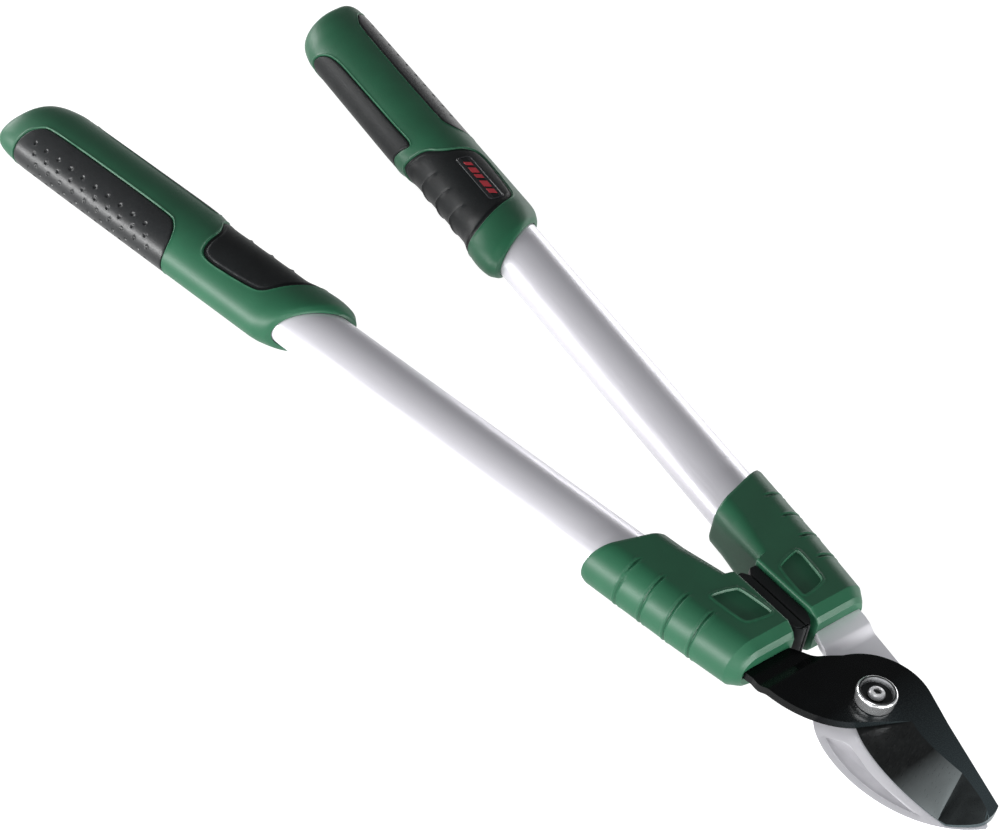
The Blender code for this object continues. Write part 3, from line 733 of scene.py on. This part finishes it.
def add_grips():
    looks = {"shell": (GREEN, "green_plastic"), "outer_pad": (RUBBER, "black_rubber"),
             "inner_pad": (SOFT, "black_rubber"), "stop_pad": (SOFT, "black_rubber")}
    meshes = grip_meshes()
    for name, side in (("hook", 1), ("blade", -1)):
        for label, (points, faces) in meshes.items():
            make_piece(f"{name}_grip_{label}", arm_to_head(side, set_end(side, points)), faces,
                       *looks[label])


def badge_ring(grow, z):
    """Outline of the badge with rounded corners, grown outwards, at a height."""
    middle, half_x, half_y, corner = 378.5, 19.0, 4.7, 2.5
    points = []
    for sx, sy, start in ((1, 1, 0), (-1, 1, 90), (-1, -1, 180), (1, -1, 270)):
        arc = circle_arc(corner + grow, start, start + 90.0, 8)
        points += [(middle + sx * (half_x - corner) + x, sy * (half_y - corner) + y, z) for x, y in arc]
    return np.array(points)


def add_badge():
    """Dark plate with a raised rim and five plain slanted bars."""
    top = 15.85
    field = top - 0.3
    rings = [badge_ring(grow, z) for grow, z in ((0.0, 14.4), (0.0, top - 0.25), (-0.25, top), (-0.7, top),
                                                 (-0.95, field), (-2.0, field))]
    points, faces = loft_mesh(rings)
    make_piece("hook_grip_badge", arm_to_head(1, points), faces, BADGE, "badge_black")
    red = surface("badge_red", (0.30, 0.018, 0.026), 0.35, vary=0.08, scale=300.0, grain=3000.0,
                  grain_depth=0.01)
    bars = ((366.0, 3.6), (372.5, 5.2), (379.5, 3.0), (385.0, 4.4), (391.0, 2.6))
    lean, half_length, rise = 0.8, 2.0, 0.2
    for k, (station, width) in enumerate(bars):
        outline = [(station + sx * width / 2.0 + sy * lean, sy * half_length, 0.0)
                   for sx, sy in ((-1, -1), (1, -1), (1, 1), (-1, 1))]
        bar = prism(arm_to_head(1, outline), field, field + rise)
        soften(bar, 0.06, segments=1)
        bar.data.transform(Matrix.Translation(Vector(PIVOT * 0.001)))
        bar.data.materials.append(red)
        bar.name = f"hook_grip_badge_bar_{k + 1}"
        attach(bar, "hook_arm")


# --- sleeves and tubes ---

SLEEVE_START, SLEEVE_END = 45.1, 130.0
SLEEVE_OUTER, SLEEVE_INNER = -20.8, 19.6
SLEEVE_DEPTH, SLEEVE_ROUND = 14.0, 13.8
SEAT_GAP = 6.8  # from the tool's middle line to the bumper's seat
POCKET_END = 63.7  # where the tang's slot opens into the tube's hole
END_SLANT = 0.44


def seat_lateral(station):
    """How far the bumper's seat lies from the arm's axis."""
    return (ARM_OFFSET - SEAT_GAP + station * SIN) / COS


def sleeve_tables():
    """Rows of station, outer, inner, half depth, outer rounding, inner rounding and slant."""
    rows = []
    head = ((0.0, 5.0, 0.8, 5.6), (1.7, 3.5, 0.5, 2.9), (6.5, 0.9, 0.0, 0.0))
    for ahead, outer_shrink, inner_shrink, shrink in head:
        station = SLEEVE_START + ahead
        inner = seat_lateral(station) / (1.0 + TAN * TAN) - inner_shrink
        rows.append((station, SLEEVE_OUTER + outer_shrink, inner, SLEEVE_DEPTH - shrink,
                     SLEEVE_ROUND - shrink, 1.5, TAN))
    rows.append((84.2, SLEEVE_OUTER, seat_lateral(84.2), SLEEVE_DEPTH, SLEEVE_ROUND, 1.5, 0.0))
    tail = ((86.7, 0.0, 5.0, 0.02), (112.0, 0.0, 9.0, 0.1), (128.0, 0.0, 9.0, 0.42),
            (129.4, 0.45, 9.0, 0.435), (SLEEVE_END, 1.6, 9.0, END_SLANT))
    for station, shrink, inner_round, slant in tail:
        rows.append((station, SLEEVE_OUTER + shrink, SLEEVE_INNER - shrink, SLEEVE_DEPTH - shrink,
                     SLEEVE_ROUND - shrink, inner_round, slant))
    return np.array(rows)


SLEEVE = sleeve_tables()
# lengths given to inner flat, inner corner, top flat, outer corner and outer flat, then back below
SLEEVE_SPANS = np.array((9.0, 8.0, 22.0, 21.8, 0.3))
SLEEVE_KNOTS = np.concatenate([[0.0], np.cumsum(SLEEVE_SPANS)])
HALF_GIRTH = float(SLEEVE_KNOTS[-1])


def sleeve_point(at):
    station = at[:, 0]
    outer, inner, depth, outer_round, inner_round, slant = (
        np.interp(station, SLEEVE[:, 0], SLEEVE[:, k]) for k in range(1, 7))
    length = np.mod(at[:, 1], 2.0 * HALF_GIRTH)
    below = length > HALF_GIRTH
    length = np.where(below, 2.0 * HALF_GIRTH - length, length)
    k = np.clip(np.searchsorted(SLEEVE_KNOTS, length, side="right") - 1, 0, 4)
    t = (length - SLEEVE_KNOTS[k]) / SLEEVE_SPANS[k]
    quarter = t * math.pi / 2.0
    y = np.choose(k, [inner, inner - inner_round * (1.0 - np.cos(quarter)),
                      inner - inner_round + t * (outer + outer_round - inner + inner_round),
                      outer + outer_round * (1.0 - np.sin(quarter)), outer])
    z = np.choose(k, [t * (depth - inner_round), depth - inner_round * (1.0 - np.sin(quarter)), depth,
                      depth - outer_round * (1.0 - np.cos(quarter)), (depth - outer_round) * (1.0 - t)])
    z = np.where(below, -z, z)
    return np.stack([station - slant * y, y, z], 1)


WINDOW = rounded([(82.5, 0.0), (76.6, 14.6), (56.0, 14.9), (61.0, 0.0)], 3, 0.09)
GROOVES = (74.3, 88.7, 103.0, 117.5)


def window_field(at):
    return outline_field(sleeve_point(at)[:, :2], WINDOW)


def sleeve_height(at):
    """Relief: grooves with raised banks on the outer side, and a sunk window with a rim."""
    groove_depth, bank, window_rim, window_depth = 0.75, 0.25, 0.20, 0.9
    place = sleeve_point(at)
    height = np.zeros(len(at))
    reach = fade(place[:, 1], -5.0, -8.5)
    for groove in GROOVES:
        gap = place[:, 0] - groove
        height -= groove_depth * bump(gap, 0.0, 0.55) * reach
        height += bank * (bump(gap, 1.35, 0.5) + bump(gap, -1.35, 0.5)) * reach
    window = window_field(at)
    height += window_rim * fade(window, -1.5, -0.9) * fade(window, 0.05, -0.1)
    height -= window_depth * fade(window, 0.0, 0.30)
    return height


def sleeve_mesh():
    """Skin of the sleeve, with a slot for the tang at the head and the tube's hole behind it."""
    along = [SLEEVE_START, 45.6, 46.2, 46.8, 47.9, 49.1, 50.4, 51.6, 52.6]
    at = 54.0
    while at < 127.5:
        along.append(at)
        close = min(abs(at - groove) for groove in GROOVES)
        at += 0.3 if close < 2.4 else 1.0
    along += [128.0, 128.5, 129.0, 129.4, 129.7, SLEEVE_END]
    half = spaced(*zip(SLEEVE_KNOTS[:-1], SLEEVE_KNOTS[1:], (1.5, 0.9, 1.0, 0.9, 0.3)))
    around = np.concatenate([half, 2.0 * HALF_GIRTH - half[::-1][1:]])
    net = Net(np.array(along), around, sleeve_point)
    for level in (-1.5, -0.9, -0.1, 0.0, 0.35):
        net.cut(lambda at: window_field(at) - level)
    base, out = net.surface()
    top = base + out * sleeve_height(net.at)[:, None]

    def turned(shape):
        """Cosines and sines of the points of a section, taken as an oval."""
        turn = np.arctan2(shape[:, 2] / 14.0, shape[:, 1] / 20.0)
        return np.cos(turn), np.sin(turn)

    def ring(stations, y, z):
        return np.stack([stations + 0.0 * y, y, z], 1)

    head, tail = top[net.first_row], top[net.last_row]
    c, s = turned(head)
    reach = 1.0 / np.maximum(np.abs(c) / 14.2, np.abs(s) / 2.3)
    mouth = ring(SLEEVE_START - TAN * reach * c + 0.4, reach * c, reach * s)
    bottom = ring(POCKET_END, reach * c, reach * s)
    wide = ring(POCKET_END, OVAL[0] * c, OVAL[1] * s)
    c, s = turned(tail)
    rear = ring(SLEEVE_END - END_SLANT * OVAL[0] * c, OVAL[0] * c, OVAL[1] * s)
    points, faces = [top], net.tris.tolist()
    last = add_rings(points, faces, net.first_row, (head * 0.6 + mouth * 0.4, mouth, bottom, wide, rear))
    faces += strip(last, net.last_row)
    return np.concatenate(points), faces


def tube_mesh():
    """Oval tube with its wall."""
    half_y, half_z, wall = 16.9, 11.5, 1.5
    turn = np.linspace(0.0, math.tau, 112, endpoint=False)
    stations = spaced((64.0, 540.0, 8.0))

    def ring(station, shrink):
        return np.stack([np.full(len(turn), station), (half_y - shrink) * np.cos(turn),
                         (half_z - shrink) * np.sin(turn)], 1)

    rings = [ring(s, 0.0) for s in stations] + [ring(s, wall) for s in stations[::-1]]
    rings.append(rings[0])
    return loft_mesh(rings, caps=False)


def add_bumper(name, side):
    """Rubber block in the seat, with a groove across its front corner above and below."""
    low, high, seat, depth = -86.0, -44.4, 6.5, 11.0

    def block(outline, bottom, top):
        return prism([(x, side * y) for x, y in outline], bottom, top)

    body = block([(low, seat), (high - 7.4, seat), (high - 3.0, 4.8), (high, 1.6), (high, GAP),
                  (low + 3.0, GAP), (low, 2.6)], -depth, depth)
    soften(body, 0.7)
    groove = [(high - 5.2, 8.0), (high - 4.6, 8.0), (high - 0.9, 2.6), (high - 0.9, -1.0),
              (high - 1.7, -1.0), (high - 1.7, 2.4)]
    for z in (1, -1):
        carve(body, [block(groove, z * (depth - 1.0), z * (depth + 1.0))])
    even_shading(piece_from(body, f"{name}_bumper", SOFT))


def add_arms():
    sleeve_points, sleeve_faces = sleeve_mesh()
    tube_points, tube_faces = tube_mesh()
    for name, side in (("hook", 1), ("blade", -1)):
        make_piece(f"{name}_sleeve", arm_to_head(side, sleeve_points), sleeve_faces, GREEN,
                   "green_plastic", sharp=20.0)
        make_piece(f"{name}_tube", arm_to_head(side, tube_points), tube_faces, TUBES[side], "aluminium")
        add_bumper(name, side)


# --- blades ---

PLATE = 4.0
BORE = 5.25
EDGE = 0.35  # thickness left at the cutting edge
RECESS_DEPTH = 0.36
BEVEL_END = (50.6, 3.7)  # where the bevel's upper line meets the tip's facet
TIP_AHEAD = (25.3, 10.4)


def tang(side):
    """Outline of the shank inside the sleeve and the tube."""
    corners = ((42.9, -13.9), (62.0, -13.9), (62.0, -12.0), (116.0, -12.0), (116.0, 12.0), (62.0, 12.0),
               (62.0, 13.9), (42.9, 13.9))
    return arm_to_head(side, [(s, y, 0.0) for s, y in corners])[:, :2]


HOOK_EDGE = ((-8.0, -29.2), (9.0, -44.2), (58.0, -44.9), (75.9, -6.8))
BLADE_EDGE = ((5.0, -15.2), (18.0, -22.5), (40.0, -25.0), (61.0, -21.6))


def hook_outline():
    """From the back of the hook round its tip, cutting side, pivot disc and shank."""
    return np.concatenate([
        bezier(*HOOK_EDGE, 60),
        [(75.4, -5.0)],
        bezier((73.6, -3.9), (60.0, -17.0), (38.0, -21.5), (21.3, -14.9), 40),
        circle_arc(26.0, -30.0, 80.0, 40),
        bezier((-8.0, 29.7), (-12.0, 30.4), (-22.0, 32.3), (-34.0, 34.4), 8),
        tang(1),
        bezier((-38.0, 5.6), (-33.5, 4.5), (-31.5, 3.2), (-28.6, 0.8), 8),
        circle_arc(27.5, 180.0, 240.0, 24)])


def blade_outline():
    """From the cutting edge round the tip, back, pivot disc and shank."""
    return np.concatenate([
        bezier(*BLADE_EDGE, 48),
        [(65.0, -21.2), (68.2, -17.4)],
        bezier((71.2, -13.0), (74.0, -8.6), (75.4, -4.2), (72.8, 2.2), 10),
        [(72.0, 3.9), (28.0, 19.2)],
        circle_arc(28.1, 70.0, 164.0, 36),
        [(-31.0, 1.0), (-33.4, -1.6), (-37.1, -3.9), (-41.0, -6.2)],
        tang(-1)[::-1],
        bezier((-37.5, -36.4), (-22.0, -36.8), (-6.0, -30.4), (3.2, -18.2), 28)])


def joggle(target, rise):
    """Step the shank over, as the pressed plate does."""
    start, end = -30.0, -36.5
    bm = bmesh.new()
    bm.from_mesh(target.data)
    for x in np.linspace(start, end, 9):
        bmesh.ops.bisect_plane(bm, geom=list(bm.verts) + list(bm.edges) + list(bm.faces),
                               plane_co=(x * 0.001, 0.0, 0.0), plane_no=(1.0, 0.0, 0.0), dist=1e-7)
    for vert in bm.verts:
        vert.co.z += rise * 0.001 * float(fade(vert.co.x * 1000.0, start, end))
    bmesh.ops.triangulate(bm, faces=[face for face in bm.faces if len(face.verts) > 4])
    bm.to_mesh(target.data)
    bm.free()


def grinding(line, edge, low, out, out_low):
    """Cutter over the slope from a line on the top face down to the edge, and on past the edge."""
    top = PLATE + GAP / 2.0
    rings = []
    for i in range(len(line)):
        rings.append([(*line[i], top), (*edge[i], low[i]), (*out[i], out_low[i]), (*out[i], top + 1.0),
                      (*line[i], top + 1.0)])
    return working_object(*loft_mesh(rings))


def bevel():
    """Cutter for the slope along the cutting edge."""
    edge = bezier(*BLADE_EDGE, 48)
    line = bezier((17.5, 6.3), (27.0, 2.6), (37.0, 3.0), BEVEL_END, 48)
    low = np.full(len(edge), GAP / 2.0 + EDGE)
    return grinding(line, edge, low, edge + (edge - line) * 0.15, low)


def tip_facet():
    """Cutter that thins the tip, from the end of the bevel to the front edge."""
    line = bezier(BEVEL_END, (58.0, 2.2), (68.0, 0.6), (75.0, -5.0), 16)
    edge = np.concatenate([np.linspace((61.0, -21.6), (65.0, -21.2), 6)[:-1],
                           np.linspace((65.0, -21.2), (71.2, -13.0), 6)[:-1],
                           np.linspace((71.2, -13.0), (75.6, -4.4), 7)])
    low = np.linspace(GAP / 2.0 + EDGE, PLATE + GAP / 2.0 - 1.3, len(edge))
    return grinding(line, edge, low, edge + (edge - line) * 0.15 + (0.4, -0.2), low - 0.1)


def ground(at, out):
    """The faces that slope down to the cutting edge and the tip."""
    return 0.90 < out.z < 0.9985 and at[0] > 3.0


def before_tip(at):
    """The bevel's side of the line where it meets the tip's facet."""
    return (at[0] - BEVEL_END[0]) * TIP_AHEAD[0] + (at[1] - BEVEL_END[1]) * TIP_AHEAD[1] < 8.0


def inward(outline_run):
    """Unit directions to the left of a run of directions."""
    run = outline_run / np.linalg.norm(outline_run, axis=1)[:, None]
    return np.stack([-run[:, 1], run[:, 0]], 1)


def hook_recess():
    """Shallow field of the hook's face, inside a land along the cutting side and a rim outside."""
    rim_width, slope_width = 3.2, 0.8
    edge = bezier(*HOOK_EDGE, 60)
    rim = (edge + inward(np.gradient(edge, axis=0)) * rim_width)[6:46]
    land = ((52.0, -26.4), (48.9, -26.6), (38.1, -27.4), (25.9, -27.0), (16.2, -24.6), (8.4, -23.4))
    outline = rounded(np.concatenate([rim, land]), 1)
    floor = outline + inward(np.roll(outline, -1, axis=0) - np.roll(outline, 1, axis=0)) * slope_width
    top = -GAP / 2.0
    return working_object(*loft_mesh([at_height(floor, top - RECESS_DEPTH), at_height(outline, top),
                                      at_height(outline, top + 2.0)]))


def add_blades():
    half = GAP / 2.0
    bore = lathe([(0.0, -9.0), (BORE, -9.0), (BORE, 9.0), (0.0, 9.0)], 64)
    hook = prism(hook_outline(), -PLATE - half, -half)
    carve(hook, [working_object(*bore), hook_recess()])
    joggle(hook, PLATE / 2.0 + half)
    soften(hook, 0.14, angle=40.0)
    hook = piece_from(hook, "hook_blade", HOOK, sharp=25.0)
    even_shading(hook)
    field = -half - RECESS_DEPTH
    paint(hook, RECESS, lambda at, out: out.z > 0.99 and abs(at[2] - field) < 0.06 and at[0] > 0.0)

    blade = prism(blade_outline(), half, PLATE + half)
    carve(blade, [bevel(), tip_facet(), working_object(*bore)])
    joggle(blade, -PLATE / 2.0 - half)
    soften(blade, 0.12, angle=40.0, segments=1)
    blade = piece_from(blade, "cutting_blade", BLADE, sharp=4.5)
    even_shading(blade)
    paint(blade, GROUND, lambda at, out: ground(at, out) and before_tip(at))
    # painted shade: the tip's facet is coloured darker than the bevel, for the shade it lies in
    paint(blade, TIP_FACET_SHADE, lambda at, out: ground(at, out) and not before_tip(at))


# --- pivot ---

def hexagon(flats):
    """Corners of a hexagon with a width across its flats."""
    return circle_arc(flats / math.sqrt(3.0), 0.0, 300.0, 5)


def add_cap():
    """Round cap with a dish in its top; gives the heights of the dish's floor and of the top."""
    low = PLATE + 1.5 * GAP
    top, floor, hole = low + 7.0, low + 3.4, 3.25
    profile = [(7.95, top), (8.25, top), (8.6, top - 0.12), (9.0, top - 0.38), (9.3, top - 0.75),
               (9.47, top - 1.2), (9.5, top - 1.7), (9.5, top - 2.5), (9.42, top - 2.9), (9.15, top - 3.4),
               (9.02, top - 4.0), (9.0, low + 0.25), (8.8, low), (hole, low), (hole, floor), (6.6, floor),
               (7.0, floor + 0.15), (7.3, floor + 0.6), (7.7, top - 0.35), (7.8, top - 0.1)]
    cap = make_piece("pivot_cap", *lathe(profile), CHROME, "chrome", sharp=40.0)
    # the dish between the cap's rim and the button is coloured dark
    paint(cap, DARK_AND_SHADE, lambda at, out: 3.3 < math.hypot(at[0], at[1]) < 8.45 and out.z > 0.2)
    return floor, top


def add_bolt(seat, top, nut_low):
    """Bolt with a round button end, a hexagon socket and a thread in the nut."""
    shank, root, button, thread_top, end = 2.95, 2.72, 3.95, -7.6, nut_low - 1.6
    bolt = [(0.0, top), (1.9, top - 0.05), (2.6, top - 0.2), (3.2, top - 0.5), (3.6, top - 0.9),
            (3.85, top - 1.4), (button, top - 2.0), (button, seat + 0.2), (3.75, seat), (shank, seat)]
    height = seat - 0.6
    while height > nut_low - 0.6:
        bolt.append((shank, height))
        if height < thread_top:
            bolt += [(shank, height - 0.28), (root, height - 0.5), (shank, height - 0.72)]
        height -= 1.0
    bolt += [(2.45, end), (0.0, end)]
    body = working_object(*lathe(bolt, 64))
    carve(body, [prism(hexagon(3.6), top - 1.8, top + 1.0)])
    body = piece_from(body, "pivot_bolt", BUTTON, sharp=40.0)
    # painted shade: the socket's floor and walls are coloured black for the shade inside it
    paint(body, DARK_AND_SHADE, lambda at, out: math.hypot(at[0], at[1]) < 2.1 and 5.0 < at[2] < top - 0.6)


def add_pivot():
    nut_low, nut_height, thread_hole = -13.45, 6.0, 3.25
    floor, top = add_cap()
    add_bolt(floor + 0.2 + GAP, top - 0.4, nut_low)

    washer = [(8.3, -4.45), (8.5, -4.65), (8.5, -5.5), (8.35, -5.65), (3.25, -5.65), (3.25, -4.45)]
    make_piece("pivot_washer", *lathe(washer), ZINC, "zinc_steel")
    spring = [(6.55, -5.95), (6.6, -6.05), (6.6, -6.55), (6.5, -6.65), (3.35, -7.15), (3.25, -7.05),
              (3.25, -6.5), (3.35, -6.45)]
    make_piece("pivot_spring_washer", *lathe(spring), ZINC, "zinc_steel")

    nut_top = nut_low + nut_height
    nut = prism(hexagon(10.0), nut_low, nut_top)
    crown = lathe([(0.0, nut_low), (4.9, nut_low), (5.8, nut_low + 0.55), (5.8, nut_top - 0.55),
                   (4.9, nut_top), (0.0, nut_top)], 96)
    carve(nut, [working_object(*crown)], "INTERSECT")
    hole = lathe([(0.0, -20.0), (thread_hole, -20.0), (thread_hole, 0.0), (0.0, 0.0)], 64)
    carve(nut, [working_object(*hole)])
    piece_from(nut, "pivot_nut", ZINC)


def dress_frame():
    """Finishes for the CAD nodes that stay in view."""
    looks = {"tang_insert": NYLON, "rivet": ZINC, "bushing": ZINC}
    for name, node in frame["nodes"].items():
        for label, material in looks.items():
            if label in name:
                node.data.materials.clear()
                node.data.materials.append(material)


# --- stage ---

def add_light(name, direction, elevation, distance, size, power):
    """Rectangular light that faces the middle, from a direction and elevation in degrees."""
    light = bpy.data.lights.new(name, "AREA")
    light.shape = "RECTANGLE"
    light.size, light.size_y = size
    light.energy = power
    a, e = math.radians(direction), math.radians(elevation)
    back = Vector((math.cos(a) * math.cos(e), math.sin(a) * math.cos(e), math.sin(e)))
    lamp = bpy.data.objects.new(name, light)
    lamp.location = back * distance
    lamp.rotation_mode = "QUATERNION"
    lamp.rotation_quaternion = back.to_track_quat("Z", "Y")
    bpy.context.scene.collection.objects.link(lamp)


def add_stage():
    """White floor just below the tool, a dim studio and five lights."""
    half, drop = 6.0, -0.002
    mesh = bpy.data.meshes.new("floor")
    mesh.from_pydata([(-half, -half, drop), (half, -half, drop), (half, half, drop), (-half, half, drop)],
                     [], [(0, 1, 2, 3)])
    floor = bpy.data.objects.new("floor", mesh)
    bpy.context.scene.collection.objects.link(floor)
    material = bpy.data.materials.new("floor")
    material.use_nodes = True
    feed(material.node_tree.nodes["Principled BSDF"],
         {"Base Color": (0.35, 0.35, 0.35, 1.0), "Roughness": 0.9, "Specular IOR Level": 0.1,
          "Emission Color": (1.0, 1.0, 1.0, 1.0), "Emission Strength": 0.92})
    mesh.materials.append(material)

    world = bpy.data.worlds.new("studio")
    world.use_nodes = True
    feed(world.node_tree.nodes["Background"], {"Color": (0.95, 0.97, 1.0, 1.0), "Strength": 0.2})
    bpy.context.scene.world = world

    add_light("key", -96.0, 6.8, 1.5, (2.2, 0.32), 62.0)
    add_light("side", 2.0, 6.4, 1.5, (1.8, 0.30), 44.0)
    add_light("back", -166.0, 13.0, 1.5, (0.8, 0.4), 12.0)
    add_light("top", -62.0, 62.0, 1.6, (0.8, 0.6), 3.0)
    add_light("rim", 98.0, 7.0, 1.6, (1.6, 0.35), 8.0)


def add_camera():
    """Long lens from above and beside the blades, set out from the pivot."""
    camera = bpy.data.cameras.new("camera")
    camera.lens = 89.82
    camera.sensor_width = 36.0
    camera.clip_start = 0.01
    right = Vector((0.6254, 0.7668, 0.1446))
    down = Vector((0.5870, -0.3403, -0.7346))
    ahead = Vector((-0.5141, 0.5443, -0.6630))
    item = bpy.data.objects.new("camera", camera)
    place = Vector((PIVOT + (389.8, -683.5, 801.4)) * 0.001)
    item.matrix_world = Matrix.Translation(place) @ Matrix((right, -down, -ahead)).transposed().to_4x4()
    bpy.context.scene.collection.objects.link(item)
    bpy.context.scene.camera = item
    bpy.context.scene.view_settings.view_transform = "Standard"


add_grips()
add_badge()
add_arms()
add_blades()
add_pivot()
dress_frame()
add_stage()
add_camera()

bpy.context.view_layer.update()
